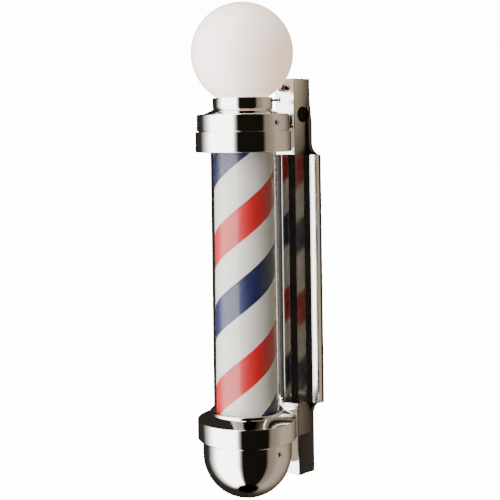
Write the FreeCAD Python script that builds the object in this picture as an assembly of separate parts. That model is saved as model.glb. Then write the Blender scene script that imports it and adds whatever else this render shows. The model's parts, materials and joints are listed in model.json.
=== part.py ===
import FreeCAD, Part
import math
import os
from FreeCAD import Vector

# Wall-mounted revolving striped pole with a globe lamp on top.  Millimetres.
# X to the right seen from the front, -Y out from the wall, +Z up.
# Origin: the wall-side face of the back frame, at the middle of its height.

# ---- driving dimensions -------------------------------------------------
wall_to_axis = 147.6        # wall face to the pole's centre line
frame_height = 711.0        # back frame, top to bottom
block_width = 48.2          # end blocks of the back frame
block_depth = 42.0
block_wall = 5.0            # casting wall around the wiring rooms
block_edge_radius = 1.5
spine_width = 98.6          # wide middle of the back frame
spine_thickness = 6.0
shoulder_width = 58.0       # wall flange beside the upper block
shoulder_top = 320.0
shoulder_full = 276.0
panel_top = 218.2
panel_bottom = -227.0
panel_sheet = 1.4
panel_edge = 9.0
panel_shoulder = 13.0       # distance of the outermost step's edge from the wall
# (x, distance from the wall) of the stepped casing: ridge, then foot and edge of each step
panel_steps = ((0.0, 51.0), (12.0, 46.0), (17.5, 34.5), (33.0, 29.0), (38.0, 18.5))
step_hollow = 0.55          # how far each step's face is dished
conduit_radius = 14.25
conduit_height = 291.0
conduit_depth = 19.5        # from the wall face
hanger_height = 340.0
hanger_radius = 4.5
hanger_boss_radius = 9.0
wall_thread_radius = 4.0
wall_thread_height = -260.0
wall_thread_depth = 26.0
wire_hole_radius = 5.0
nut_radius = 8.4            # acorn nut on the hanger stud
nut_height = 12.5
nut_thread = 8.5
washer_thickness = 1.6
washer_radius = 9.6

joint_height = 262.0        # seam between the upper ring and the top cap
seam_gap = 0.7
ring_height = 35.2
ring_wall = 4.0
cap_wall = 2.0
cap_height = 29.5
shoulder_inner_radius = 52.0
shoulder_rise = 10.8
spigot_height = 19.0

holder_radius = 52.6
holder_wall = 1.5
holder_height = 17.5
globe_radius = 89.0
globe_wall = 3.0
globe_centre_above_holder = 77.7
neck_radius = 45.7
neck_lip_radius = 49.2
neck_lip_height = 4.5
neck_seat = 2.2             # globe rim above the holder's floor
thumbscrew_radius = 2.5
thumbscrew_height = 12.7    # above the holder's floor face
thumbscrew_length = 13.0
thumbscrew_head = 5.0

glass_radius = 57.15
ring_beyond_glass = 26.05   # the upper ring's radius beyond the glass
ring_beyond_cap = 2.6
cap_edge_radius = 3.0
collar_beyond_ring = 2.6
collar_beyond_dome = 8.8
lip_beyond_glass = 6.55
bosses_beyond_glass = 12.85  # radius of the bosses inside the upper ring
standoffs_inside_dome = 15.0
glass_wall = 3.0
glass_bottom = -223.0
glass_top = 240.0
gasket_thickness = 1.3
drum_radius = 51.7
drum_wall = 1.0
drum_bottom = -227.0
drum_top = 234.0

collar_top = -219.6
cone_bottom = -234.5
collar_bottom = -269.0
collar_edge_radius = 3.0
dome_wall = 2.0
dome_centre = -293.7
skirt_wall = 3.0
skirt_bottom = -291.0
lug_half_width = 25.0
lower_lug_half_width = 22.5

plate_height = -262.0       # upper face of the motor plate
plate_thickness = 2.5
post_radius = 6.0
post_bore = 4.0
running_clearance = 0.05
seat_clearance = 0.15
gear_module = 1.0
drum_gear_teeth = 64
pinion_teeth = 16
motor_module = 0.6
motor_gear_teeth = 60
rotor_teeth = 12
gear_backlash = 0.16
mesh_clearance = 0.05
rotor_angle = 215.0         # of the rotor seen from the output shaft, degrees
lamp_radius = 13.0
nipple_radius = 5.0

# back frame fittings
sleeve_radius = 3.0
ring_lug_height = 249.5
lug_bolt_radius = 2.5
lug_bolt_offset = 12.5
collar_lug_height = -300.0
collar_wire_height = -284.0
stud_radius = 2.0
stud_height = 150.0
stud_offset = 25.0
stud_length = 28.6
cover_thickness = 1.5

# inside the upper ring
boss_radius = 4.5
bridge_height = 250.0
bridge_thickness = 2.5
bridge_half_width = 14.0
retainer_thickness = 1.6
boss_screw_radius = 1.6
cap_screw_height = 276.0
cap_screw_radius = 2.0
cap_screw_head = 5.3
retainer_angles = (60, 120, 240, 300)
bridge_angles = (0, 180)
gasket_cover = 2.0

# globe fittings
thumbscrew_angles = {"thumbscrew_side": 45.0, "thumbscrew_rear": 165.0}
fixed_tab_angle = 285.0

# sockets and bulbs
socket_radius = 19.0
socket_height = 38.0
socket_bore = 14.0
socket_base = 6.0
bulb_base_radius = 13.2
bulb_radius = 30.0

# guide sleeve
sleeve_outer = 11.0
sleeve_bore = 7.5
sleeve_bottom = 224.0

# lower collar
dome_screw_height = -284.5
dome_clearance = 1.4
standoff_radius = 4.0
standoff_angles = (90, 210, 330)
standoff_screw = 1.8

# drum hub
post_shoulder = 4.0
washer_drum = 2.0
hub_radius = 11.0
hub_flange_radius = 26.0
disc_thickness = 2.0
shaft_radius = 3.0
pillar_screw = 1.4
pillar_radius = 3.0

# lamp
lamp_holder_radius = 15.0
lamp_cap = 12.0

# gearbox and motor
case_wall = 1.5
case_radius = 28.0
output_case_radius = 21.0
bush_radius = 3.5
rotor_shaft_radius = 1.5
rotor_radius = 12.0

terminal_half = 14.0
terminal_depth = 13.0
terminal_low = 262.0
terminal_high = 276.0
terminal_hole = 2.2
ballast_half = 14.0
ballast_depth = 24.0
ballast_above_foot = 9.0
ballast_height = 35.0
lug_core = 60.0             # how near the axis the lugs start
lug_foot = 26.0             # foot of the lower lug above the frame's foot
lug_foot_rise = 12.0
lug_foot_depth = 9.0
lug_top = 44.0
lug_bolt_reach = 13.0
nipple_nut_width = 17.0
hub_screw_ring = 19.0
hub_screw_angles = (45, 165, 285)
post_nut_width = 19.0
post_nut_height = 5.0
rotor_length = 11.0
coil_length = 16.0
coil_radius = 25.3
through = 60.0              # cutting length that passes any wall
drill_start = 60.0
drill = 30.0

# dark plain plate on the lower block
blank_thickness = 0.6
blank_margin = 1.2
blank_height = 71.5         # its top edge above the frame's foot
blank_corner = 0.8

ring_radius = glass_radius + ring_beyond_glass
cap_radius = ring_radius - ring_beyond_cap
shoulder_outer_radius = cap_radius - cap_edge_radius
lip_radius = glass_radius + lip_beyond_glass
collar_radius = ring_radius + collar_beyond_ring
dome_radius = collar_radius - collar_beyond_dome
post_ring = glass_radius + bosses_beyond_glass
retainer_outer = post_ring + 6.0
standoff_ring = dome_radius - standoffs_inside_dome
pole_y = -wall_to_axis
terminal_middle = (terminal_low + terminal_high) / 2
half_block = block_width / 2
frame_top = frame_height / 2
frame_bottom = -frame_height / 2
ballast_bottom = frame_bottom + ballast_above_foot
ring_top = joint_height - seam_gap / 2
ring_bottom = ring_top - ring_height
cap_bottom = joint_height + seam_gap / 2
cap_shoulder = cap_bottom + cap_height
cap_top = cap_shoulder + shoulder_rise
holder_floor = cap_top + holder_wall
globe_centre = cap_top + holder_height + globe_centre_above_holder
spine_half = spine_width / 2
shoulder_half = shoulder_width / 2
sleeve_y = -(spine_thickness + 4.5)
front_wall_y = -(block_depth - block_wall)
ring_floor = ring_bottom + ring_wall
ring_inner = ring_radius - ring_wall
spigot_outer = cap_radius - cap_wall - 1.0
spigot_inner = spigot_outer - 3.0
glass_hole = glass_radius + gasket_thickness + 0.1
glass_collar_top = glass_top - 2.0
holder_top = cap_top + holder_height
globe_rim = holder_floor + neck_seat
thumbscrew_z = holder_floor + thumbscrew_height - holder_wall
thumbscrew_tip = neck_radius + 0.35
collar_pocket = glass_radius + gasket_thickness
collar_seat = glass_bottom - 3.0
skirt_outer = dome_radius - dome_wall - seat_clearance
skirt_inner = skirt_outer - skirt_wall
groove_outer = dome_radius + seat_clearance
groove_top = collar_bottom + 7.0
hub_bottom = plate_height + post_shoulder + washer_drum
drum_gear_bottom = hub_bottom + 6.0
drum_gear_top = drum_gear_bottom + 7.0
output_distance = gear_module * (drum_gear_teeth + pinion_teeth) / 2 + mesh_clearance
rotor_distance = motor_module * (motor_gear_teeth + rotor_teeth) / 2 + mesh_clearance
output_x = output_distance
output_y = pole_y
rotor_x = output_x + rotor_distance * math.cos(math.radians(rotor_angle))
rotor_y = output_y + rotor_distance * math.sin(math.radians(rotor_angle))
lower_holder_bottom = drum_bottom + 6
lower_holder_top = lower_holder_bottom + 18
upper_holder_bottom = sleeve_bottom - 18
cover_top = plate_height - plate_thickness - 10.0
cover_bottom = cover_top - 2.0
case_bottom = cover_bottom - 15.0
motor_bottom = case_bottom - 21.0
output_gear_bottom = case_bottom + case_wall + 4.5
output_gear_top = output_gear_bottom + 4.0
pillar_places = [Vector(rotor_x - 22, rotor_y - 7, 0), Vector(rotor_x - 2, rotor_y - 24, 0),
                 Vector(output_x + 9, output_y + 14, 0)]

NODES = {}


# ---- small makers -------------------------------------------------------
def add(name, shape):
    NODES[name] = shape


def box(x0, x1, y0, y1, z0, z1):
    low = Vector(min(x0, x1), min(y0, y1), min(z0, z1))
    return Part.makeBox(abs(x1 - x0), abs(y1 - y0), abs(z1 - z0), low)


def cylinder(radius, z0, z1, x=0.0, y=pole_y):
    return Part.makeCylinder(radius, z1 - z0, Vector(x, y, z0))


def tube(outer, inner, z0, z1, x=0.0, y=pole_y):
    bore = cylinder(inner, z0 - 1, z1 + 1, x, y)
    return cylinder(outer, z0, z1, x, y).cut(bore)


def rod(radius, start, direction, length):
    return Part.makeCylinder(radius, length, start, direction)


def revolve(steps):
    """Solid of revolution about the pole's axis.  A step is a point (r, z), or
    ("arc", (r, z) on the way, (r, z) end)."""
    def at(p):
        return Vector(p[0], pole_y, p[1])
    edges = []
    last = at(steps[0])
    for step in steps[1:] + [steps[0]]:
        if step[0] == "arc":
            end = at(step[2])
            edges.append(Part.Arc(last, at(step[1]), end).toShape())
        else:
            end = at(step)
            if end.distanceToPoint(last) > 1e-7:
                edges.append(Part.LineSegment(last, end).toShape())
        last = end
    face = Part.Face(Part.Wire(edges))
    return face.revolve(Vector(0, pole_y, 0), Vector(0, 0, 1), 360)


def on_axis(radius, degrees, z):
    a = math.radians(degrees)
    return Vector(radius * math.cos(a), pole_y + radius * math.sin(a), z)


def outward(degrees):
    a = math.radians(degrees)
    return Vector(math.cos(a), math.sin(a), 0)


def joined(shapes):
    first = shapes[0]
    return first.fuse(shapes[1:]).removeSplitter() if len(shapes) > 1 else first


def without(shape, cutters):
    return shape.cut(cutters)


def group(shapes):
    return Part.makeCompound(shapes)


def bent_corner(centre_r, centre_z, radius, degrees):
    a = math.radians(degrees)
    return (centre_r + radius * math.cos(a), centre_z + radius * math.sin(a))


def screw(start, direction, shank, length, head, head_height):
    """Round-headed slotted screw: the shank runs from start along direction, the
    head sits behind start."""
    body = rod(shank, start, direction, length)
    back = direction.negative()
    dome_r = (head ** 2 + head_height ** 2) / (2 * head_height)
    centre = start + direction * (dome_r - head_height)
    ball = Part.makeSphere(dome_r, centre)
    cap = ball.common(rod(head, start, back, head_height + 1))
    side = direction.cross(Vector(0, 0, 1))
    if side.Length < 0.1:
        side = Vector(1, 0, 0)
    side.normalize()
    up = side.cross(direction)
    depth = head_height * 0.45
    slot = Part.makeBox(3 * head, 0.22 * head, head_height)
    turn = FreeCAD.Matrix(side.x, up.x, back.x, 0, side.y, up.y, back.y, 0,
                          side.z, up.z, back.z, 0, 0, 0, 0, 1)
    slot = slot.transformGeometry(turn)
    corner = start + back * (head_height - depth) - side * (1.5 * head) - up * (0.11 * head)
    slot.translate(corner)
    return body.fuse(cap).cut(slot)


def hexagon(across_flats, z0, z1, x=0.0, y=pole_y):
    r = across_flats / math.sqrt(3)
    ring = [Vector(x + r * math.cos(math.radians(60 * k)),
                   y + r * math.sin(math.radians(60 * k)), z0) for k in range(7)]
    return Part.Face(Part.makePolygon(ring)).extrude(Vector(0, 0, z1 - z0))


def gear(module, teeth, z0, z1, x, y, tooth_degrees):
    """Involute spur gear; the middle of one tooth lies at tooth_degrees."""
    pitch = module * teeth / 2
    base = pitch * math.cos(math.radians(20))
    tip = pitch + module
    root = pitch - 1.25 * module
    start = max(base, root)
    involute_20 = math.tan(math.radians(20)) - math.radians(20)
    half_pitch = math.pi / (2 * teeth) - gear_backlash / (4 * pitch)

    def half_angle(r):
        a = math.acos(min(1.0, base / r))
        return half_pitch + involute_20 - (math.tan(a) - a)

    def point(r, angle):
        return Vector(x + r * math.cos(angle), y + r * math.sin(angle), z0)

    edges = []
    for k in range(teeth):
        mid = math.radians(tooth_degrees) + 2 * math.pi * k / teeth
        nxt = mid + 2 * math.pi / teeth
        middle = (start + tip) / 2
        foot = half_angle(start)
        low = point(start, mid - foot)
        high = point(tip, mid - half_angle(tip))
        high2 = point(tip, mid + half_angle(tip))
        low2 = point(start, mid + foot)
        if root < start - 1e-6:
            edges.append(Part.LineSegment(point(root, mid - foot), low).toShape())
        edges.append(Part.Arc(low, point(middle, mid - half_angle(middle)), high).toShape())
        edges.append(Part.Arc(high, point(tip, mid), high2).toShape())
        edges.append(Part.Arc(high2, point(middle, mid + half_angle(middle)), low2).toShape())
        if root < start - 1e-6:
            edges.append(Part.LineSegment(low2, point(root, mid + foot)).toShape())
        edges.append(Part.Arc(point(root, mid + foot), point(root, (mid + nxt) / 2),
                              point(root, nxt - foot)).toShape())
    return Part.Face(Part.Wire(edges)).extrude(Vector(0, 0, z1 - z0))


# ---- back frame and panel ----------------------------------------------


def flange_outline(depth):
    """Outline of the back frame against the wall, extruded away from the wall."""
    upper_r = spine_half - shoulder_half
    lower_r = spine_half - half_block
    diagonal = math.sqrt(0.5)

    def at(x, z):
        return Vector(x, 0, z)

    def line(a, b):
        return Part.LineSegment(a, b).toShape()

    edges = []
    for s in (1, -1):
        a = at(s * half_block, frame_top)
        b = at(s * half_block, shoulder_top)
        c = at(s * shoulder_half, shoulder_full)
        d = at(s * shoulder_half, panel_top + upper_r)
        d_mid = at(s * (spine_half - upper_r * diagonal), panel_top + upper_r * (1 - diagonal))
        e = at(s * spine_half, panel_top)
        f = at(s * spine_half, panel_bottom)
        g_mid = at(s * (spine_half - lower_r * diagonal), panel_bottom - lower_r * (1 - diagonal))
        g = at(s * half_block, panel_bottom - lower_r)
        h = at(s * half_block, frame_bottom)
        edges += [line(a, b), line(b, c), line(c, d), Part.Arc(d, d_mid, e).toShape(),
                  line(e, f), Part.Arc(f, g_mid, g).toShape(), line(g, h)]
    edges.append(line(at(-half_block, frame_top), at(half_block, frame_top)))
    edges.append(line(at(-half_block, frame_bottom), at(half_block, frame_bottom)))
    wire = Part.Wire(Part.__sortEdges__(edges))
    return Part.Face(wire).extrude(Vector(0, -depth, 0))


def end_block(z0, z1):
    block = box(-half_block, half_block, 0, -block_depth, z0, z1)
    front = [e for e in block.Edges if abs(e.CenterOfMass.y + block_depth) < 0.01]
    return block.makeFillet(block_edge_radius, front)


def wiring_room(z0, z1):
    inside = half_block - block_wall
    return box(-inside, inside, 1, front_wall_y, z0, z1)


def back_frame():
    away = Vector(0, -1, 0)
    frame = joined([flange_outline(panel_edge), end_block(panel_top, frame_top),
                    end_block(frame_bottom, panel_bottom)])
    tray = box(-spine_half - 1, spine_half + 1, -spine_thickness, -panel_edge - 1,
               panel_bottom, panel_top)
    rooms = [wiring_room(panel_top + block_wall, frame_top - block_wall),
             wiring_room(frame_bottom + block_wall, panel_bottom - block_wall)]
    frame = without(frame, [tray] + rooms)
    bosses = [rod(hanger_boss_radius, Vector(0, 0, hanger_height), away, block_depth - 1),
              rod(hanger_boss_radius, Vector(0, 0, wall_thread_height), away, block_depth - 1)]
    frame = joined([frame] + bosses)
    holes = [rod(hanger_radius, Vector(0, 1, hanger_height), away, block_depth + 2),
             rod(wall_thread_radius, Vector(0, 1, wall_thread_height), away,
                 wall_thread_depth + 1),
             rod(conduit_radius, Vector(half_block - block_wall - 1, -conduit_depth,
                                        conduit_height), Vector(1, 0, 0), block_wall + 9),
             rod(wire_hole_radius, Vector(0, front_wall_y + 1, ring_lug_height), away,
                 block_wall + 2),
             rod(wire_hole_radius, Vector(0, front_wall_y + 1, collar_wire_height), away,
                 block_wall + 2),
             cylinder(sleeve_radius + seat_clearance, panel_bottom - block_wall - 1,
                      panel_top + block_wall + 1, 0, sleeve_y)]
    for s in (1, -1):
        for z in (ring_lug_height, collar_lug_height):
            holes.append(rod(lug_bolt_radius + seat_clearance,
                             Vector(s * lug_bolt_offset, front_wall_y + 1, z), away,
                             block_wall + 2))
        for z in (stud_height, -stud_height):
            x = s * stud_offset
            holes.append(rod(stud_radius + seat_clearance, Vector(x, 1, z), away,
                             spine_thickness + 2))
            holes.append(rod(3 * stud_radius, Vector(x, 1, z), away, spine_thickness - 1))
    return without(frame, holes)


def casing_section(back, z):
    """Cross-section of the casing: dished steps climbing to a ridge in the middle."""
    half = list(panel_steps) + [(spine_half, panel_shoulder)]
    points = [(-x, depth) for x, depth in reversed(half[1:])] + half

    def at(x, depth):
        return Vector(x, -depth, z)

    edges = [Part.LineSegment(at(-spine_half, back), at(*points[0])).toShape()]
    for k, (a, b) in enumerate(zip(points, points[1:])):
        middle = at((a[0] + b[0]) / 2, (a[1] + b[1]) / 2 - step_hollow)
        dished = (k if k < len(half) - 1 else k - len(half) + 1) % 2 == 0
        edge = Part.Arc(at(*a), middle, at(*b)) if dished else Part.LineSegment(at(*a), at(*b))
        edges.append(edge.toShape())
    edges.append(Part.LineSegment(at(*points[-1]), at(spine_half, back)).toShape())
    edges.append(Part.LineSegment(at(spine_half, back), at(-spine_half, back)).toShape())
    return Part.Face(Part.Wire(edges))


def ribbed_panel():
    height = panel_top - panel_bottom
    outer = casing_section(spine_thickness, panel_bottom).extrude(Vector(0, 0, height))
    inner = casing_section(spine_thickness - 3 * panel_sheet, panel_bottom + panel_sheet)
    inner = inner.makeOffset2D(-panel_sheet, 2).extrude(Vector(0, 0, height - 2 * panel_sheet))
    passage = cylinder(sleeve_radius + seat_clearance, panel_bottom - 1, panel_top + 1, 0,
                       sleeve_y)
    return without(outer, [inner, passage])


def panel_fixings():
    """Studs on the back of the sheet, each with a nut let into the casting."""
    away = Vector(0, -1, 0)
    nut_thickness = 2.8
    pocket_floor = spine_thickness - 2.0
    pieces = []
    for s in (1, -1):
        for z in (stud_height, -stud_height):
            x = s * stud_offset
            stud = rod(stud_radius, Vector(x, -0.5, z), away, stud_length)
            nut = rod(2.4 * stud_radius, Vector(x, nut_thickness - pocket_floor, z), away,
                      nut_thickness)
            pieces.append(stud)
            pieces.append(nut.cut(rod(stud_radius, Vector(x, 1, z), away, stud_length)))
    return group(pieces)


def room_covers():
    """Plates that close the backs of the two wiring rooms, flush with the wall face."""
    side = half_block - block_wall - seat_clearance
    covers = []
    for z0, z1, boss_z in ((panel_top + block_wall, frame_top - block_wall, hanger_height),
                           (frame_bottom + block_wall, panel_bottom - block_wall,
                            wall_thread_height)):
        plate = box(-side, side, 0, -cover_thickness, z0 + seat_clearance, z1 - seat_clearance)
        hole = rod(hanger_boss_radius + seat_clearance, Vector(0, 1, boss_z), Vector(0, -1, 0), 9)
        covers.append(plate.cut(hole))
    return group(covers)


def blank_plate():
    plate = box(half_block, half_block + blank_thickness, -block_depth + blank_margin,
                -blank_margin, frame_bottom + blank_margin, frame_bottom + blank_height)
    corners = [e for e in plate.Edges if abs(e.Length - blank_thickness) < 1e-6]
    return plate.makeFillet(blank_corner, corners)


def cap_nut():
    """Round acorn nut on the hanger stud, threaded from its flat side."""
    y = -block_depth - washer_thickness
    base = rod(nut_radius, Vector(0, y, hanger_height), Vector(0, -1, 0), nut_height - nut_radius)
    ball = Part.makeSphere(nut_radius, Vector(0, y - (nut_height - nut_radius), hanger_height))
    front = box(-20, 20, y - (nut_height - nut_radius), y - 30, hanger_height - 20,
                hanger_height + 20)
    nut = base.fuse(ball.common(front))
    for k in range(6):
        flat = box(nut_radius * 0.93, 20, y + 1, y - (nut_height - nut_radius),
                   hanger_height - 10, hanger_height + 10)
        flat.rotate(Vector(0, 0, hanger_height), Vector(0, 1, 0), 60 * k)
        nut = nut.cut(flat)
    thread = rod(wall_thread_radius, Vector(0, y + 1, hanger_height), Vector(0, -1, 0),
                 nut_thread + 1)
    return nut.cut(thread)


def cap_nut_washer():
    y = -block_depth
    disc = rod(washer_radius, Vector(0, y, hanger_height), Vector(0, -1, 0), washer_thickness)
    return disc.cut(rod(hanger_radius, Vector(0, 0, hanger_height), Vector(0, -1, 0), through))


def lug_bolts(reach):
    bolts = []
    for z in (ring_lug_height, collar_lug_height):
        for s in (1, -1):
            start = Vector(s * lug_bolt_offset, front_wall_y, z)
            bolts.append(screw(start, Vector(0, -1, 0), lug_bolt_radius, block_wall + reach,
                               4.6, 3.2))
    return group(bolts)


def wire_sleeve():
    z0 = panel_bottom - block_wall - 6
    z1 = panel_top + block_wall + 6
    return tube(sleeve_radius, sleeve_radius - 0.8, z0, z1, 0, sleeve_y)


def terminal_block():
    """Two-pole screw terminal on the front wall of the upper wiring room."""
    body = box(-terminal_half, terminal_half, front_wall_y, front_wall_y + terminal_depth,
               terminal_low, terminal_high)
    for x in (-8, 0, 8):
        body = body.cut(cylinder(terminal_hole, terminal_low - 1, terminal_high + 1, x,
                                 front_wall_y + 5))
        body = body.cut(rod(2.0, Vector(x, front_wall_y + terminal_depth + 1, terminal_middle),
                            Vector(0, -1, 0), 8))
    return body


def ballast():
    """Lamp ballast in the lower wiring room."""
    can = box(-ballast_half, ballast_half, front_wall_y, front_wall_y + ballast_depth,
              ballast_bottom, ballast_bottom + ballast_height)
    upright = [e for e in can.Edges if abs(e.Length - ballast_height) < 1e-6]
    return can.makeFillet(2.0, upright)


# ---- upper ring, cap and globe -----------------------------------------


def upper_ring():
    edge = 1.5
    profile = [(glass_hole, ring_bottom), (ring_radius - edge, ring_bottom),
               ("arc", bent_corner(ring_radius - edge, ring_bottom + edge, edge, -45),
                (ring_radius, ring_bottom + edge)),
               (ring_radius, ring_top), (spigot_outer, ring_top),
               (spigot_outer, ring_top + spigot_height), (spigot_inner, ring_top + spigot_height),
               (spigot_inner, ring_top - 5), (ring_inner, ring_top - 9), (ring_inner, ring_floor),
               (glass_hole + 3, ring_floor), (glass_hole + 3, glass_collar_top),
               (glass_hole, glass_collar_top)]
    lug = box(-lug_half_width, lug_half_width, -block_depth, pole_y + lug_core, ring_bottom + 5,
              ring_top + 5)
    lug = lug.cut(cylinder(ring_radius - 2.2, ring_bottom - 5, ring_top + 10))
    ring = revolve(profile).fuse(lug)
    bosses = [on_axis(post_ring, a, ring_floor - 1) for a in retainer_angles]
    for p in bosses:
        ring = ring.fuse(cylinder(boss_radius, p.z, glass_top + gasket_cover, p.x, p.y))
    for a in bridge_angles:
        p = on_axis(post_ring, a, ring_floor - 1)
        ring = ring.fuse(cylinder(boss_radius, p.z, bridge_height, p.x, p.y))
    holes = []
    for a in retainer_angles + bridge_angles:
        p = on_axis(post_ring, a, ring_floor + 2)
        holes.append(cylinder(boss_screw_radius, p.z, bridge_height + 5, p.x, p.y))
    for s in (1, -1):
        holes.append(rod(lug_bolt_radius, Vector(s * lug_bolt_offset, -block_depth + 1,
                                                 ring_lug_height), Vector(0, -1, 0), 15))
    for a in (0, 180):
        holes.append(rod(cap_screw_radius, on_axis(drill_start, a, cap_screw_height), outward(a), drill))
    holes.append(rod(wire_hole_radius, Vector(0, -block_depth + 1, ring_lug_height),
                     Vector(0, -1, 0), 40))
    return without(ring, holes)


def top_cap():
    edge = 3.0
    waist = ((shoulder_outer_radius + shoulder_inner_radius) / 2 - 1.8, cap_shoulder + 1.2)
    outer_edge = (cap_radius - edge, cap_shoulder)
    inner_low = (outer_edge[0] - 0.6, cap_shoulder - cap_wall)
    inner_waist = (waist[0] - 0.8, waist[1] - cap_wall)
    inner_top = (shoulder_inner_radius - cap_wall, cap_top - cap_wall)
    profile = [(cap_radius, cap_bottom), (cap_radius, cap_shoulder - edge),
               ("arc", bent_corner(cap_radius - edge, cap_shoulder - edge, edge, 45), outer_edge),
               ("arc", waist, (shoulder_inner_radius, cap_top)),
               (nipple_radius, cap_top), (nipple_radius, cap_top - cap_wall), inner_top,
               ("arc", inner_waist, inner_low),
               ("arc", bent_corner(cap_radius - edge - 0.3, cap_shoulder - edge - 0.3,
                                   edge - cap_wall + 0.3, 45),
                (cap_radius - cap_wall, cap_shoulder - edge)),
               (cap_radius - cap_wall, cap_bottom)]
    cap = revolve(profile)
    holes = [rod(cap_screw_radius + seat_clearance, on_axis(drill_start, a, cap_screw_height),
                 outward(a), 30) for a in (0, 180)]
    return without(cap, holes)


def side_screws(radius, z, head, reach):
    return group([screw(on_axis(radius, a, z), outward(a + 180), cap_screw_radius, reach,
                        head, 2.6) for a in (0, 180)])


def globe_holder():
    profile = [(nipple_radius, cap_top), (holder_radius, cap_top), (holder_radius, holder_top),
               (holder_radius - holder_wall, holder_top), (holder_radius - holder_wall,
                                                           holder_floor),
               (nipple_radius, holder_floor)]
    tab = box(neck_radius + 0.8, holder_radius - 0.5, -3, 3, globe_rim + neck_lip_height + 0.6,
              globe_rim + neck_lip_height + 2.6)
    tab.rotate(Vector(0, 0, 0), Vector(0, 0, 1), fixed_tab_angle)
    tab.translate(Vector(0, pole_y, 0))
    holder = revolve(profile).fuse(tab)
    holes = [rod(thumbscrew_radius + running_clearance, on_axis(40, a, thumbscrew_z),
                 outward(a), 30) for a in thumbscrew_angles.values()]
    return without(holder, holes)


def thumbscrew(degrees):
    """Thin-headed knurled screw pointing at the globe's neck."""
    out = outward(degrees)
    start = on_axis(thumbscrew_tip, degrees, thumbscrew_z)
    reach = holder_radius - thumbscrew_tip + thumbscrew_length - 2
    shank = rod(thumbscrew_radius - 0.6, start, out, 1.0)
    shank = shank.fuse(rod(thumbscrew_radius, start + out * 1.0, out, reach - 1.0))
    head_start = start + out * reach
    head = rod(thumbscrew_head, head_start, out, 2.0)
    side = Vector(-out.y, out.x, 0)
    notches = []
    count = 20
    for k in range(count):
        a = 2 * math.pi * k / count
        centre = head_start + side * (thumbscrew_head * math.cos(a))
        centre = centre + Vector(0, 0, thumbscrew_head * math.sin(a)) - out
        notches.append(rod(0.35, centre, out, 4.0))
    return shank.fuse(head.cut(notches))


def globe_gasket():
    return tube(neck_lip_radius, neck_lip_radius - 6, holder_floor, globe_rim)


def globe():
    c = globe_centre
    inner = globe_radius - globe_wall
    neck_in = neck_radius - globe_wall
    join_out = c - math.sqrt(globe_radius ** 2 - neck_radius ** 2)
    join_in = c - math.sqrt(inner ** 2 - neck_in ** 2)
    lip_top = globe_rim + neck_lip_height
    profile = [(neck_in, globe_rim), (neck_lip_radius, globe_rim), (neck_lip_radius, lip_top - 1),
               (neck_radius, lip_top), (neck_radius, join_out),
               ("arc", (globe_radius, c), (0, c + globe_radius)), (0, c + inner),
               ("arc", (inner, c), (neck_in, join_in))]
    return revolve(profile)


def globe_lampholder():
    z = holder_floor
    profile = [(nipple_radius, z), (socket_radius - 3, z), (socket_radius - 3, z + socket_base),
               (socket_radius, z + socket_base + 4), (socket_radius, z + socket_height),
               (socket_bore, z + socket_height), (socket_bore, z + socket_base),
               (nipple_radius, z + socket_base)]
    return revolve(profile)


def globe_bulb_base():
    z = holder_floor + socket_base + 6
    turns = 5
    pitch = 4.0
    profile = [(0, z), (5, z), (7, z + 3), (bulb_base_radius - 0.8, z + 4)]
    for k in range(turns):
        low = z + 4 + k * pitch
        profile.append(("arc", (bulb_base_radius, low + pitch / 2),
                        (bulb_base_radius - 0.8, low + pitch)))
    top = z + 4 + turns * pitch
    profile += [(bulb_base_radius - 0.8, top + 2), (0, top + 2)]
    return revolve(profile)


def globe_bulb_glass():
    """Pear-shaped envelope, open where it is cemented into the base."""
    z = holder_floor + socket_base + 6 + 26.0
    centre = z + 48
    half = math.sqrt(0.5)

    def envelope(inset, foot):
        ball = bulb_radius - inset
        neck = bulb_base_radius - 0.8 - inset
        waist = (bulb_base_radius + 3.4 - inset, z + 17)
        join = (ball * math.sqrt(0.75), centre - ball / 2)
        return revolve([(0, foot), (neck, foot), (neck, z + 4), ("arc", waist, join),
                        ("arc", (ball * half, centre + ball * half), (0, centre + ball))])

    return envelope(0, z).cut(envelope(0.8, z - 1))


def nipple():
    return tube(nipple_radius, nipple_radius - 1.5, cap_top - cap_wall - 9,
                holder_floor + socket_base + 5)


def nipple_nuts():
    low = hexagon(nipple_nut_width, cap_top - cap_wall - 5, cap_top - cap_wall)
    high = hexagon(nipple_nut_width, holder_floor + socket_base, holder_floor + socket_base + 4)
    bore = cylinder(nipple_radius, cap_bottom, globe_centre)
    return group([low.cut(bore), high.cut(bore)])


# ---- glass tube, gaskets and upper lamp bridge --------------------------
def glass_cylinder():
    return tube(glass_radius, glass_radius - glass_wall, glass_bottom, glass_top)


def upper_gasket():
    inner = glass_radius - glass_wall
    profile = [(glass_radius, ring_bottom + 2), (glass_hole - 0.05, ring_bottom + 2),
               (glass_hole - 0.05, glass_collar_top), (glass_hole + 3, glass_collar_top),
               (glass_hole + 3, glass_top + gasket_cover), (inner, glass_top + gasket_cover),
               (inner, glass_top), (glass_radius, glass_top)]
    return revolve(profile)


def lower_gasket():
    inner = glass_radius - glass_wall
    profile = [(glass_radius, collar_top - 0.8), (glass_radius, glass_bottom),
               (inner, glass_bottom), (inner, collar_seat), (collar_pocket - 0.05, collar_seat),
               (collar_pocket - 0.05, collar_top - 0.8)]
    return revolve(profile)


def glass_retainer():
    z = glass_top + gasket_cover
    plate = tube(retainer_outer, glass_radius - glass_wall, z, z + retainer_thickness)
    holes = []
    for a in retainer_angles:
        p = on_axis(post_ring, a, z - 1)
        holes.append(cylinder(boss_screw_radius + seat_clearance, p.z, p.z + 9, p.x, p.y))
    for a in bridge_angles:
        p = on_axis(post_ring, a, z - 1)
        holes.append(cylinder(boss_radius + 0.4, p.z, p.z + 9, p.x, p.y))
    return without(plate, holes)


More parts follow.
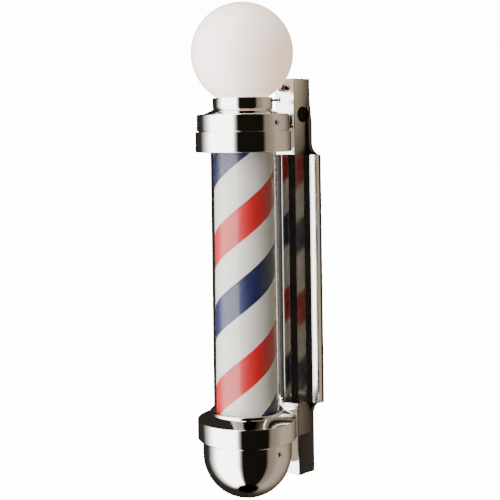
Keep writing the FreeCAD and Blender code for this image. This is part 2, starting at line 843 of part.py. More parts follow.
def boss_screws(angles, z, grip):
    screws = []
    for a in angles:
        start = on_axis(post_ring, a, z)
        screws.append(screw(start, Vector(0, 0, -1), boss_screw_radius, grip, 3.2, 2.0))
    return group(screws)


def lamp_bridge():
    half = post_ring + 5
    strap = box(-half, half, pole_y - bridge_half_width, pole_y + bridge_half_width,
                bridge_height, bridge_height + bridge_thickness)
    holes = [cylinder(sleeve_bore, bridge_height - 1, bridge_height + 9)]
    for a in bridge_angles:
        p = on_axis(post_ring, a, bridge_height - 1)
        holes.append(cylinder(boss_screw_radius + seat_clearance, p.z, p.z + 9, p.x, p.y))
    return without(strap, holes)


def guide_sleeve():
    """Fixed tube under the lamp bridge; the drum's top spider turns round it."""
    body = tube(sleeve_outer, sleeve_bore, sleeve_bottom, bridge_height)
    flange = tube(sleeve_outer + 2.5, sleeve_bore, bridge_height - 3, bridge_height)
    return joined([body, flange])


# ---- lower collar, dome and motor plate ---------------------------------


def collar_lug():
    """Gusset between the collar and the lower block, hollowed under the dome's side."""
    def at(y, z):
        return Vector(-lower_lug_half_width, y, z)
    top = cone_bottom - 1.0
    low = at(-block_depth, frame_bottom + lug_foot)
    inner_y = pole_y + dome_radius - 6
    mid = at(-block_depth - lug_foot_depth, frame_bottom + lug_foot + lug_foot_rise)
    end = at(inner_y, frame_bottom + lug_top)
    edges = [Part.Arc(low, mid, end).toShape(),
             Part.LineSegment(end, at(inner_y, collar_bottom)).toShape(),
             Part.LineSegment(at(inner_y, collar_bottom), at(pole_y + lug_core, collar_bottom)).toShape(),
             Part.LineSegment(at(pole_y + lug_core, collar_bottom), at(pole_y + lug_core, top)).toShape(),
             Part.LineSegment(at(pole_y + lug_core, top), at(-block_depth, top)).toShape(),
             Part.LineSegment(at(-block_depth, top), low).toShape()]
    lug = Part.Face(Part.Wire(edges)).extrude(Vector(2 * lower_lug_half_width, 0, 0))
    ridge = [e for e in lug.Edges if e.CenterOfMass.z > top - 0.01
             and abs(abs(e.CenterOfMass.x) - lower_lug_half_width) < 0.01]
    lug = lug.makeChamfer(5.0, ridge)
    return lug.cut(cylinder(dome_radius + dome_clearance, frame_bottom - through, collar_bottom))


def lower_collar():
    r = collar_edge_radius
    shell = [(0, collar_top), (lip_radius, collar_top), (lip_radius, collar_top - 5),
             (collar_radius - 1.5, cone_bottom + 0.6),
             ("arc", (collar_radius - 0.4, cone_bottom - 0.2), (collar_radius, cone_bottom - 1.4)),
             (collar_radius, collar_bottom + r),
             ("arc", bent_corner(collar_radius - r, collar_bottom + r, r, -45),
              (collar_radius - r, collar_bottom)),
             (skirt_outer, collar_bottom), (skirt_outer, skirt_bottom), (0, skirt_bottom)]
    hollow = [(0, collar_top + 1), (collar_pocket, collar_top + 1), (collar_pocket, collar_seat),
              (drum_radius + 1.5, collar_seat), (drum_radius + 1.5, collar_seat - 4),
              (standoff_ring + 6, collar_seat - 7), (skirt_inner, cone_bottom - 8),
              (skirt_inner, skirt_bottom - 1), (0, skirt_bottom - 1)]
    body = joined([revolve(shell), collar_lug()])
    groove = tube(groove_outer, skirt_outer, collar_bottom - 1, groove_top)
    body = without(body, [revolve(hollow), groove])
    holes = []
    for a in (0, 180):
        holes.append(rod(cap_screw_radius, on_axis(drill_start, a, dome_screw_height), outward(a),
                         dome_radius - drill_start))
    for a in standoff_angles:
        p = on_axis(standoff_ring, a, collar_seat - 7)
        body = body.fuse(cylinder(standoff_radius + 1, p.z - 1.5, p.z + 3.5, p.x, p.y))
        holes.append(cylinder(standoff_screw, p.z - 2, p.z + 2, p.x, p.y))
    for s in (1, -1):
        holes.append(rod(lug_bolt_radius, Vector(s * lug_bolt_offset, -block_depth + 1,
                                                 collar_lug_height), Vector(0, -1, 0), 15))
    start = Vector(0, -block_depth + 1, collar_wire_height)
    holes.append(rod(wire_hole_radius, start, Vector(0, -1, 0), 30))
    return without(body, holes)


def dome_cup():
    inner = dome_radius - dome_wall
    half = math.sqrt(0.5)
    c = dome_centre
    profile = [(0, c - dome_radius),
               ("arc", (dome_radius * half, c - dome_radius * half), (dome_radius, c)),
               (dome_radius, groove_top - 0.5), (inner, groove_top - 0.5), (inner, c),
               ("arc", (inner * half, c - inner * half), (0, c - inner))]
    cup = revolve(profile)
    holes = [rod(cap_screw_radius + seat_clearance, on_axis(drill_start, a, dome_screw_height),
                 outward(a), 20) for a in (0, 180)]
    holes.append(rod(wire_hole_radius + 1, Vector(0, pole_y + lug_core, collar_wire_height),
                     Vector(0, 1, 0), 30))
    return without(cup, holes)


def motor_plate():
    top = plate_height
    plate = cylinder(skirt_inner - 0.5, top - plate_thickness, top)
    holes = [cylinder(post_radius, top - 9, top + 9)]
    for a in standoff_angles:
        p = on_axis(standoff_ring, a, top)
        holes.append(cylinder(standoff_screw + seat_clearance, top - 9, top + 9, p.x, p.y))
    holes.append(cylinder(shaft_radius + 4, top - 9, top + 9, output_x, output_y))
    for p in pillar_places:
        holes.append(cylinder(pillar_screw + seat_clearance, top - 9, top + 9, p.x, p.y))
    return without(plate, holes)


def plate_standoffs():
    posts = []
    for a in standoff_angles:
        p = on_axis(standoff_ring, a, plate_height)
        post = cylinder(standoff_radius, plate_height, collar_seat - 8.5, p.x, p.y)
        posts.append(post.cut(cylinder(standoff_screw, plate_height - 1, plate_height + 12,
                                       p.x, p.y)))
    return group(posts)


def plate_screws():
    screws = []
    for a in standoff_angles:
        p = on_axis(standoff_ring, a, plate_height - plate_thickness)
        screws.append(screw(p, Vector(0, 0, 1), standoff_screw, plate_thickness + 9, 3.6, 2.2))
    return group(screws)


# ---- drum ---------------------------------------------------------------


def striped_drum():
    return tube(drum_radius, drum_radius - drum_wall, drum_bottom, drum_top)


def drum_bottom_disc():
    inner = drum_radius - drum_wall - 0.05
    low = drum_bottom - disc_thickness
    profile = [(hub_radius, low), (drum_radius, low), (drum_radius, drum_bottom),
               (inner, drum_bottom), (inner, drum_bottom + 7), (inner - 1.2, drum_bottom + 7),
               (inner - 1.2, drum_bottom), (hub_radius, drum_bottom)]
    disc = revolve(profile)
    holes = [cylinder(1.6, low - 1, low + 9, p.x, p.y) for p in hub_screw_places()]
    return without(disc, holes)


def hub_screw_places():
    return [on_axis(hub_screw_ring, a, drum_bottom) for a in hub_screw_angles]


def drum_hub():
    flange_low = drum_bottom - disc_thickness - 3
    flange_top = drum_bottom - disc_thickness
    profile = [(post_radius + running_clearance, hub_bottom), (hub_radius, hub_bottom),
               (hub_radius, flange_low), (hub_flange_radius, flange_low),
               (hub_flange_radius, flange_top), (hub_radius, flange_top),
               (hub_radius, drum_bottom + 1), (post_radius + running_clearance, drum_bottom + 1)]
    hub = revolve(profile)
    holes = [cylinder(1.4, flange_low - 1, flange_top + 1, p.x, p.y) for p in hub_screw_places()]
    return without(hub, holes)


def hub_screws():
    return group([screw(p, Vector(0, 0, -1), 1.4, disc_thickness + 2.6, 2.8, 1.8)
                  for p in hub_screw_places()])


def drum_gear():
    wheel = gear(gear_module, drum_gear_teeth, drum_gear_bottom, drum_gear_top, 0, pole_y, 0.0)
    windows = [cylinder(4.5, drum_gear_bottom - 1, drum_gear_top + 1, p.x, p.y)
               for p in (on_axis(20.5, 60 * k + 30, 0) for k in range(6))]
    bore = cylinder(hub_radius, drum_gear_bottom - 1, drum_gear_top + 1)
    return without(wheel, windows + [bore])


def drum_top_spider():
    low = drum_top - 8
    outer = drum_radius - drum_wall - 0.05
    rim = tube(outer, outer - 1.5, low, drum_top)
    bush = tube(sleeve_outer + 3.5, sleeve_outer + 0.08, low - 2, drum_top)
    arms = []
    for k in range(3):
        arm = box(sleeve_outer + 2.5, outer - 1, -3.5, 3.5, low, low + 3)
        arm.rotate(Vector(0, 0, 0), Vector(0, 0, 1), 120 * k + 30)
        arm.translate(Vector(0, pole_y, 0))
        arms.append(arm)
    return joined([rim, bush] + arms)


def thrust_washer():
    return tube(hub_radius, post_radius + running_clearance, plate_height + post_shoulder,
                hub_bottom)


def centre_post():
    low = plate_height - plate_thickness - 8
    top = drum_bottom + 6
    profile = [(post_bore, low), (post_radius, low), (post_radius, plate_height),
               (hub_radius, plate_height), (hub_radius, plate_height + post_shoulder),
               (post_radius, plate_height + post_shoulder), (post_radius, top), (post_bore, top)]
    return revolve(profile)


def post_nut():
    z = plate_height - plate_thickness
    nut = hexagon(post_nut_width, z - post_nut_height, z)
    return nut.cut(cylinder(post_radius, z - 9, z + 1))


# ---- lamp inside the drum ----------------------------------------------


def tube_lampholder(z0, z1, pocket_low):
    """Cup-shaped holder for one end of the tube lamp."""
    body = cylinder(lamp_holder_radius, z0, z1)
    pocket_z = (z0 + 6, z1 + 1) if pocket_low else (z0 - 1, z1 - 6)
    pocket = cylinder(lamp_radius + 0.6, pocket_z[0], pocket_z[1])
    pins = [cylinder(1.6, z0 - 1, z1 + 1, x) for x in (-6.35, 6.35)]
    return without(body, [pocket] + pins)


def lamp_tube():
    z0 = lower_holder_bottom + 6.6 + lamp_cap
    z1 = upper_holder_bottom + 12 - 0.6 - lamp_cap
    return tube(lamp_radius - 0.3, lamp_radius - 1.1, z0, z1)


def lamp_caps():
    z0 = lower_holder_bottom + 6.6
    z1 = upper_holder_bottom + 12 - 0.6
    caps = []
    for low, tip in ((z0, z0 - 5.5), (z1 - lamp_cap, z1 - 0.5)):
        cap = cylinder(lamp_radius, low, low + lamp_cap)
        for x in (-6.35, 6.35):
            cap = cap.fuse(cylinder(1.2, tip, tip + 6, x))
        caps.append(cap)
    return group(caps)


# ---- gear motor ---------------------------------------------------------


def motor_outline(z0, z1, inset):
    return joined([cylinder(case_radius - inset, z0, z1, rotor_x, rotor_y),
                   cylinder(output_case_radius - inset, z0, z1, output_x, output_y)])


def gearbox_case():
    body = motor_outline(case_bottom, cover_bottom, 0)
    body = body.cut(motor_outline(case_bottom + case_wall, cover_bottom + 1, case_wall))
    seat = cylinder(bush_radius + 2, case_bottom, case_bottom + 4, output_x, output_y)
    body = body.fuse(seat)
    holes = [cylinder(shaft_radius + running_clearance, case_bottom - 1, case_bottom + 9,
                      output_x, output_y),
             cylinder(6.5, case_bottom - 1, case_bottom + 9, rotor_x, rotor_y)]
    return without(body, holes)


def gearbox_cover():
    cover = motor_outline(cover_bottom, cover_top, 0)
    neck = cylinder(bush_radius + 2, cover_top, plate_height - plate_thickness - 1, output_x,
                    output_y)
    seat = cylinder(5.0, cover_bottom - 2, cover_bottom, rotor_x, rotor_y)
    pillars = [cylinder(pillar_radius, cover_top, plate_height - plate_thickness, p.x, p.y)
               for p in pillar_places]
    cover = joined([cover, neck, seat] + pillars)
    holes = [cylinder(shaft_radius + running_clearance, cover_bottom - 1, plate_height,
                      output_x, output_y),
             cylinder(rotor_shaft_radius + running_clearance, cover_bottom - 3, cover_top - 0.8,
                      rotor_x, rotor_y)]
    holes += [cylinder(pillar_screw, cover_bottom - 1, plate_height, p.x, p.y)
              for p in pillar_places]
    return without(cover, holes)


def output_shaft():
    low = case_bottom + 0.5
    body = cylinder(shaft_radius, low, drum_gear_top + 1.5, output_x, output_y)
    return body


def output_pinion():
    """Meshes with the drum gear: a gap of the pinion faces the drum gear's tooth."""
    angle = 180 + 180 / pinion_teeth
    wheel = gear(gear_module, pinion_teeth, drum_gear_bottom - 1, drum_gear_top + 1, output_x,
                 output_y, angle)
    return wheel.cut(cylinder(shaft_radius, drum_gear_bottom - 3, drum_gear_top + 3, output_x,
                              output_y))


def output_gear():
    wheel = gear(motor_module, motor_gear_teeth, output_gear_bottom, output_gear_top, output_x,
                 output_y, rotor_angle)
    return wheel.cut(cylinder(shaft_radius, case_bottom, cover_top, output_x, output_y))


def rotor_shaft():
    """Rotor spindle with its pinion cut on the upper end."""
    angle = rotor_angle + 180 + 180 / rotor_teeth
    low = motor_bottom + 2.0
    spindle = cylinder(rotor_shaft_radius, low, cover_top - 1.3, rotor_x, rotor_y)
    teeth = gear(motor_module, rotor_teeth, output_gear_bottom - 0.8, output_gear_top + 0.8,
                 rotor_x, rotor_y, angle)
    return joined([spindle, teeth])


def rotor():
    """Ring magnet on a moulded core."""
    low = motor_bottom + 4.5
    return tube(rotor_radius, rotor_shaft_radius, low, low + rotor_length, rotor_x, rotor_y)


def motor_case():
    low = motor_bottom
    outer = cylinder(case_radius - 1, low, case_bottom, rotor_x, rotor_y)
    hollow = cylinder(case_radius - 1 - case_wall, low + case_wall, case_bottom + 1, rotor_x,
                      rotor_y)
    seat = cylinder(5.0, low, low + 3.5, rotor_x, rotor_y)
    body = joined([outer.cut(hollow), seat])
    return body.cut(cylinder(rotor_shaft_radius + running_clearance, low + 1.6, low + 9, rotor_x,
                             rotor_y))


def motor_coil():
    """Ring bobbin with its winding, round the rotor."""
    low = motor_bottom + case_wall
    return tube(coil_radius, rotor_radius + 0.8, low, low + coil_length, rotor_x, rotor_y)


def motor_screws():
    grip = plate_height - cover_bottom
    return group([screw(Vector(p.x, p.y, plate_height), Vector(0, 0, -1), pillar_screw, grip,
                        2.8, 1.8) for p in pillar_places])


# ---- every sub-part -----------------------------------------------------
add("back_frame", back_frame())
add("ribbed_panel", ribbed_panel())
add("panel_fixings", panel_fixings())
add("room_covers", room_covers())
add("blank_plate", blank_plate())
add("hanger_cap_nut", cap_nut())
add("hanger_washer", cap_nut_washer())
add("lug_bolts", lug_bolts(lug_bolt_reach))
add("wire_sleeve", wire_sleeve())
add("terminal_block", terminal_block())
add("ballast", ballast())
add("upper_ring", upper_ring())
add("top_cap", top_cap())
add("cap_screws", side_screws(cap_radius, cap_screw_height, cap_screw_head, 6.5))
add("globe_holder", globe_holder())
for name, degrees in thumbscrew_angles.items():
    add(name, thumbscrew(degrees))
add("globe_gasket", globe_gasket())
add("globe", globe())
add("globe_lampholder", globe_lampholder())
add("globe_bulb_base", globe_bulb_base())
add("globe_bulb_glass", globe_bulb_glass())
add("nipple", nipple())
add("nipple_nuts", nipple_nuts())
add("glass_cylinder", glass_cylinder())
add("upper_gasket", upper_gasket())
add("lower_gasket", lower_gasket())
add("glass_retainer", glass_retainer())
add("retainer_screws", boss_screws(retainer_angles, glass_top + gasket_cover
                                   + retainer_thickness, 8.0))
add("lamp_bridge", lamp_bridge())
add("bridge_screws", boss_screws(bridge_angles, bridge_height + bridge_thickness, 9.0))
add("guide_sleeve", guide_sleeve())
add("upper_lampholder", tube_lampholder(upper_holder_bottom, sleeve_bottom, False))
add("lower_lampholder", tube_lampholder(lower_holder_bottom, lower_holder_top, True))
add("lamp_tube", lamp_tube())
add("lamp_caps", lamp_caps())
add("lower_collar", lower_collar())
add("dome_cup", dome_cup())
add("dome_screws", side_screws(dome_radius, dome_screw_height, 4.8, 4.5))
add("motor_plate", motor_plate())
add("plate_standoffs", plate_standoffs())
add("plate_screws", plate_screws())
add("centre_post", centre_post())
add("post_nut", post_nut())
add("thrust_washer", thrust_washer())
add("striped_drum", striped_drum())
add("drum_bottom_disc", drum_bottom_disc())
add("drum_top_spider", drum_top_spider())
add("drum_hub", drum_hub())
add("hub_screws", hub_screws())
add("drum_gear", drum_gear())
add("gearbox_case", gearbox_case())
add("gearbox_cover", gearbox_cover())
add("output_shaft", output_shaft())
add("output_pinion", output_pinion())
add("output_gear", output_gear())
add("motor_rotor", joined([rotor(), rotor_shaft()]))
add("motor_case", motor_case())
add("motor_coil", motor_coil())
add("motor_screws", motor_screws())

os.makedirs("parts", exist_ok=True)
for name, shape in NODES.items():
    if not shape.isValid() or not shape.Solids:
        print("BAD", name, shape.isValid(), len(shape.Solids))
    shape.exportStep("parts/" + name + ".step")
print(len(NODES), "parts")
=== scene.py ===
import json
import math

import bpy
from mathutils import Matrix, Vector


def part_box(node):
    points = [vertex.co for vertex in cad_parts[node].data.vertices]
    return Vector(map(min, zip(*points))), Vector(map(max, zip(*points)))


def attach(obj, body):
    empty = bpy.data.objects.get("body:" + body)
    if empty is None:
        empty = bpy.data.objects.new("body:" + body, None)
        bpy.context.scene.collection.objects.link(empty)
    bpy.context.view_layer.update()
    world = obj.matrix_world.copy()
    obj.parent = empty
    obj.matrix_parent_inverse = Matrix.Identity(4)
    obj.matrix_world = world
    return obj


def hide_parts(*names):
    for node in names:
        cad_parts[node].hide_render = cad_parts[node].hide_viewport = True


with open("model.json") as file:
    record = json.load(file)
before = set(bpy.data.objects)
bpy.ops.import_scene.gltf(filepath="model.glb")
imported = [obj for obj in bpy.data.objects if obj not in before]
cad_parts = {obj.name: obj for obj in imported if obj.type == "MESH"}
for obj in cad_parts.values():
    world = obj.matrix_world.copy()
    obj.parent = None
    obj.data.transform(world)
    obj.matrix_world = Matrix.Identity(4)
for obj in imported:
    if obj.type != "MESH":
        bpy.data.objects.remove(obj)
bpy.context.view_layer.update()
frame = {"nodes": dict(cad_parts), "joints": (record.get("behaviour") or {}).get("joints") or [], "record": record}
bpy.ops.object.select_all(action="DESELECT")

MM = 0.001
FINE = 176          # segments round the pole's large turned pieces
SMALL = 48          # segments round small hardware
WELD = 4e-6         # corners nearer than this are one corner
SPECK = 0.001       # size of the first patch that a drawn line grows from
CLEAR = 0.05        # how far a cutter reaches past what it cuts


# ---- sizes read from the frame ------------------------------------------
def across(node):
    """Half the width of a node, with its lowest and highest height."""
    low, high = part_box(node)
    return (high.x - low.x) / 2, low.z, high.z


cap_seam_gap = 0.7 * MM
skirt_drop = 71.4 * MM      # from the collar's top to the foot of its hidden skirt
pipe_bore = 5.0 * MM       # hole for the lamp pipe through the holder and the cap
glass_radius, glass_low, glass_high = across("glass_cylinder")
drum_radius, drum_low, drum_high = across("striped_drum")
globe_radius, globe_rim, globe_top = across("globe")
holder_radius, holder_low, holder_high = across("globe_holder")
cap_radius, cap_low, cap_high = across("top_cap")
ring_radius, ring_low = across("upper_ring")[:2]
collar_radius, lug_low, collar_high = across("lower_collar")
skirt_low = collar_high - skirt_drop
dome_radius, dome_low, dome_high = across("dome_cup")
axis_y = [j for j in frame["joints"] if j["name"] == "drum_spin"][0]["pos_m"][1]
ring_high = cap_low - cap_seam_gap
frame_low, frame_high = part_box("back_frame")
block_front = frame_low.y
panel_low, panel_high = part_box("ribbed_panel")
AXIS = Vector((0, axis_y, 0))
UP = Vector((0, 0, 1))


# ---- making meshes -------------------------------------------------------
def deselect():
    if bpy.context.object and bpy.context.object.mode != "OBJECT":
        bpy.ops.object.mode_set(mode="OBJECT")
    bpy.ops.object.select_all(action="DESELECT")


def settle(obj, angle=35):
    """Puts the piece's place into its mesh and shades it."""
    deselect()
    bpy.context.view_layer.objects.active = obj
    obj.select_set(True)
    bpy.ops.object.transform_apply(location=True, rotation=True, scale=True)
    bpy.ops.object.mode_set(mode="EDIT")
    bpy.ops.mesh.select_all(action="SELECT")
    bpy.ops.mesh.remove_doubles(threshold=WELD)
    bpy.ops.mesh.normals_make_consistent(inside=False)
    bpy.ops.object.mode_set(mode="OBJECT")
    bpy.ops.object.shade_smooth_by_angle(angle=math.radians(angle))
    return obj


def bend(centre_r, centre_z, radius, start, end, count=8):
    """Points along a round corner of a turned profile; angles in degrees."""
    points = []
    for k in range(count + 1):
        a = math.radians(start + (end - start) * k / count)
        points.append((centre_r + radius * math.cos(a), centre_z + radius * math.sin(a)))
    return points


def turned(name, profile, base=AXIS, direction=UP, segments=FINE, angle=35):
    """Turned piece: a circle drawn out ring by ring along its profile of (r, height)."""
    tiny = 1e-6
    steps = [(max(r, tiny), z) for r, z in profile]
    deselect()
    bpy.ops.mesh.primitive_circle_add(vertices=segments, radius=steps[0][0],
                                      location=(0, 0, steps[0][1]))
    obj = bpy.context.object
    obj.name = name
    bpy.ops.object.mode_set(mode="EDIT")
    bpy.ops.mesh.select_all(action="SELECT")
    for (r0, z0), (r1, z1) in zip(steps, steps[1:]):
        bpy.ops.mesh.extrude_region_move(TRANSFORM_OT_translate={"value": (0, 0, z1 - z0)})
        k = r1 / r0
        bpy.ops.transform.resize(value=(k, k, 1), center_override=(0, 0, z1))
    bpy.ops.object.mode_set(mode="OBJECT")
    deselect()
    obj.select_set(True)
    bpy.context.view_layer.objects.active = obj
    bpy.ops.object.transform_apply(location=True)
    obj.rotation_euler = direction.to_track_quat("Z", "Y").to_euler()
    obj.location = base
    return settle(obj, angle)


def block(name, low, high, edge=0.0, segments=3):
    """Box between two corners with its edges rounded."""
    deselect()
    low, high = Vector(low), Vector(high)
    bpy.ops.mesh.primitive_cube_add(size=1, location=(low + high) / 2)
    obj = bpy.context.object
    obj.name = name
    obj.dimensions = high - low
    bpy.ops.object.transform_apply(location=True, rotation=True, scale=True)
    if edge:
        bpy.ops.object.mode_set(mode="EDIT")
        bpy.ops.mesh.select_all(action="SELECT")
        bpy.ops.mesh.bevel(offset=edge, segments=segments, affect="EDGES")
        bpy.ops.object.mode_set(mode="OBJECT")
    return settle(obj, 50)


def drawn(name, points, sweep, close=False):
    """A line drawn vertex by vertex through points, then swept along a vector."""
    deselect()
    bpy.ops.mesh.primitive_plane_add(size=SPECK, location=points[0])
    obj = bpy.context.object
    obj.name = name
    bpy.ops.object.mode_set(mode="EDIT")
    bpy.ops.mesh.select_all(action="SELECT")
    bpy.ops.mesh.merge(type="CENTER")
    for a, b in zip(points, points[1:]):
        step = Vector(b) - Vector(a)
        bpy.ops.mesh.extrude_region_move(TRANSFORM_OT_translate={"value": step})
    bpy.ops.mesh.select_all(action="SELECT")
    if close:
        bpy.ops.mesh.edge_face_add()
        bpy.ops.mesh.select_all(action="SELECT")
    bpy.ops.mesh.extrude_region_move(TRANSFORM_OT_translate={"value": sweep})
    bpy.ops.object.mode_set(mode="OBJECT")
    return obj


def cut(obj, cutter):
    """Takes the cutter's space out of a piece and deletes the cutter."""
    deselect()
    bpy.context.view_layer.objects.active = obj
    obj.select_set(True)
    tool = obj.modifiers.new("cut", "BOOLEAN")
    tool.operation = "DIFFERENCE"
    tool.solver = "EXACT"
    tool.object = cutter
    bpy.ops.object.modifier_apply(modifier=tool.name)
    bpy.data.objects.remove(cutter)
    return obj


def join(first, others):
    deselect()
    for o in others:
        o.select_set(True)
    first.select_set(True)
    bpy.context.view_layer.objects.active = first
    bpy.ops.object.join()
    return first


# ---- shared shader groups ------------------------------------------------
def new_group(name, inputs, outputs):
    group = bpy.data.node_groups.new(name, "ShaderNodeTree")
    for label, kind, value in inputs:
        socket = group.interface.new_socket(label, in_out="INPUT", socket_type=kind)
        socket.default_value = value
    for label, kind in outputs:
        group.interface.new_socket(label, in_out="OUTPUT", socket_type=kind)
    return group, group.nodes.new("NodeGroupInput"), group.nodes.new("NodeGroupOutput")


def noise(nodes, links, vector, scale, detail=3.0):
    node = nodes.new("ShaderNodeTexNoise")
    node.inputs["Scale"].default_value = scale
    node.inputs["Detail"].default_value = detail
    links.new(vector, node.inputs["Vector"])
    return node.outputs["Fac"]


def spread(nodes, links, value, low, high):
    """Maps the middle of a noise to low..high."""
    node = nodes.new("ShaderNodeMapRange")
    node.inputs["From Min"].default_value = 0.3
    node.inputs["From Max"].default_value = 0.7
    for socket, v in (("To Min", low), ("To Max", high)):
        if isinstance(v, (int, float)):
            node.inputs[socket].default_value = v
        else:
            links.new(v, node.inputs[socket])
    links.new(value, node.inputs["Value"])
    return node.outputs["Result"]


def handled_group():
    """Faint smears and dust that change how sharply a polished surface reflects."""
    group, inp, out = new_group(
        "handled",
        [("Smooth", "NodeSocketFloat", 0.04), ("Smeared", "NodeSocketFloat", 0.12),
         ("Scale", "NodeSocketFloat", 14.0)],
        [("Roughness", "NodeSocketFloat"), ("Height", "NodeSocketFloat")])
    nodes, links = group.nodes, group.links
    place = nodes.new("ShaderNodeTexCoord").outputs["Object"]
    scaled = nodes.new("ShaderNodeVectorMath")
    scaled.operation = "SCALE"
    links.new(place, scaled.inputs[0])
    links.new(inp.outputs["Scale"], scaled.inputs["Scale"])
    broad = noise(nodes, links, scaled.outputs[0], 1.0, 4.0)
    fine = noise(nodes, links, scaled.outputs[0], 40.0, 2.0)
    links.new(spread(nodes, links, broad, inp.outputs["Smooth"], inp.outputs["Smeared"]),
              out.inputs["Roughness"])
    links.new(fine, out.inputs["Height"])
    return group


handled = handled_group()


def material(name, colour, metallic=0.0, roughness=0.5, **settings):
    """Plain Principled base; returns the material and its main shader."""
    mat = bpy.data.materials.new(name)
    mat.use_nodes = True
    shader = mat.node_tree.nodes["Principled BSDF"]
    shader.inputs["Base Color"].default_value = (*colour, 1)
    shader.inputs["Metallic"].default_value = metallic
    shader.inputs["Roughness"].default_value = roughness
    for key, value in settings.items():
        shader.inputs[key.replace("_", " ")].default_value = value
    return mat, shader


def polish(mat, shader, smooth, smeared, scale, bump=0.0, distance=0.0002):
    nodes, links = mat.node_tree.nodes, mat.node_tree.links
    node = nodes.new("ShaderNodeGroup")
    node.node_tree = handled
    node.inputs["Smooth"].default_value = smooth
    node.inputs["Smeared"].default_value = smeared
    node.inputs["Scale"].default_value = scale
    links.new(node.outputs["Roughness"], shader.inputs["Roughness"])
    if bump:
        relief = nodes.new("ShaderNodeBump")
        relief.inputs["Strength"].default_value = bump
        relief.inputs["Distance"].default_value = distance
        links.new(node.outputs["Height"], relief.inputs["Height"])
        links.new(relief.outputs["Normal"], shader.inputs["Normal"])
    return node


def math_node(nodes, links, operation, *values):
    node = nodes.new("ShaderNodeMath")
    node.operation = operation
    for socket, v in zip(node.inputs, values):
        if isinstance(v, (int, float)):
            socket.default_value = v
        else:
            links.new(v, socket)
    return node.outputs[0]


def ranged(nodes, links, value, start, end, low, high):
    """Maps start..end to low..high."""
    node = nodes.new("ShaderNodeMapRange")
    node.inputs["From Min"].default_value = start
    node.inputs["From Max"].default_value = end
    node.inputs["To Min"].default_value = low
    node.inputs["To Max"].default_value = high
    links.new(value, node.inputs["Value"])
    return node.outputs["Result"]


def mix_colour(nodes, links, factor, a, b):
    node = nodes.new("ShaderNodeMix")
    node.data_type = "RGBA"
    if isinstance(factor, (int, float)):
        node.inputs["Factor"].default_value = factor
    else:
        links.new(factor, node.inputs["Factor"])
    for socket, v in ((node.inputs[6], a), (node.inputs[7], b)):
        if isinstance(v, tuple):
            socket.default_value = (*v, 1)
        else:
            links.new(v, socket)
    return node.outputs[2]


def chrome_plate():
    mat, shader = material("chrome_plate", (0.80, 0.785, 0.765), 1.0)
    polish(mat, shader, 0.012, 0.045, 16.0, bump=0.01, distance=0.0003)
    return mat


def polished_sheet():
    mat, shader = material("polished_sheet", (0.70, 0.675, 0.64), 1.0)
    polish(mat, shader, 0.13, 0.19, 22.0, bump=0.01)
    return mat


def ground_casting():
    """Satin-ground sides with painted shade that darkens them towards the wall and the panel, and a polished
    front.
    """
    skin = 0.4 * MM         # depth of the polished front
    shine = 0.72            # share of the roughness that polishing takes away
    mat, shader = material("ground_casting", (0.50, 0.485, 0.455), 1.0)
    nodes, links = mat.node_tree.nodes, mat.node_tree.links
    node = polish(mat, shader, 0.30, 0.42, 30.0, bump=0.12, distance=0.0003)
    place = nodes.new("ShaderNodeSeparateXYZ")
    links.new(nodes.new("ShaderNodeTexCoord").outputs["Object"], place.inputs[0])
    front = math_node(nodes, links, "LESS_THAN", place.outputs["Y"], block_front + skin)
    rough = math_node(nodes, links, "MULTIPLY", node.outputs["Roughness"],
                      math_node(nodes, links, "SUBTRACT", 1.0,
                                math_node(nodes, links, "MULTIPLY", front, shine)))
    links.new(rough, shader.inputs["Roughness"])
    # Painted shade: the sides' colour fades to near black towards the wall and down towards the panel, standing in
    # for the shade there.
    depth = ranged(nodes, links, place.outputs["Y"], 0.0, block_front, 0.10, 1.0)
    height = ranged(nodes, links, place.outputs["Z"], panel_high.z, frame_high.z, 0.28, 1.0)
    painted_light_level = math_node(nodes, links, "MULTIPLY", depth, height)
    side = mix_colour(nodes, links, painted_light_level, (0.012, 0.010, 0.008), (0.92, 0.87, 0.80))
    links.new(mix_colour(nodes, links, front, side, (0.80, 0.785, 0.765)),
              shader.inputs["Base Color"])
    return mat


stripe_pitch = 258.2 * MM
stripe_height = 207.7 * MM         # lower edge of a blue band, at stripe_angle
stripe_angle = math.radians(-57.4)
red_start, red_end, blue_start = 0.294, 0.528, 0.7695


def striped_sheet():
    """White sheet with a red and a blue band printed round it as right-hand spirals."""
    mat, shader = material("striped_sheet", (0.9, 0.88, 0.84), 0.0, 0.42)
    nodes, links = mat.node_tree.nodes, mat.node_tree.links
    place = nodes.new("ShaderNodeSeparateXYZ")
    links.new(nodes.new("ShaderNodeTexCoord").outputs["Object"], place.inputs[0])
    out_y = math_node(nodes, links, "SUBTRACT", place.outputs["Y"], axis_y)
    turn = math_node(nodes, links, "ARCTAN2", out_y, place.outputs["X"])
    turn = math_node(nodes, links, "SUBTRACT", turn, stripe_angle)
    turn = math_node(nodes, links, "DIVIDE", turn, 2 * math.pi)
    drop = math_node(nodes, links, "SUBTRACT", stripe_height, place.outputs["Z"])
    drop = math_node(nodes, links, "DIVIDE", drop, stripe_pitch)
    along = math_node(nodes, links, "FRACT", math_node(nodes, links, "ADD", drop, turn))
    red = math_node(nodes, links, "MULTIPLY",
                    math_node(nodes, links, "GREATER_THAN", along, red_start),
                    math_node(nodes, links, "LESS_THAN", along, red_end))
    blue = math_node(nodes, links, "GREATER_THAN", along, blue_start)
    cloud = noise(nodes, links, nodes["Texture Coordinate"].outputs["Object"], 30.0, 3.0)
    white = mix_colour(nodes, links, spread(nodes, links, cloud, 0.0, 1.0),
                       (0.44, 0.415, 0.375), (0.48, 0.455, 0.415))
    colour = mix_colour(nodes, links, red, white, (0.33, 0.005, 0.007))
    colour = mix_colour(nodes, links, blue, colour, (0.0045, 0.0065, 0.040))
    links.new(colour, shader.inputs["Base Color"])
    # The emission is painted light: a faint glow in the sheet's own colours that brightens the drum beyond what
    # the surroundings light.
    links.new(colour, shader.inputs["Emission Color"])
    shader.inputs["Emission Strength"].default_value = 0.10
    return mat


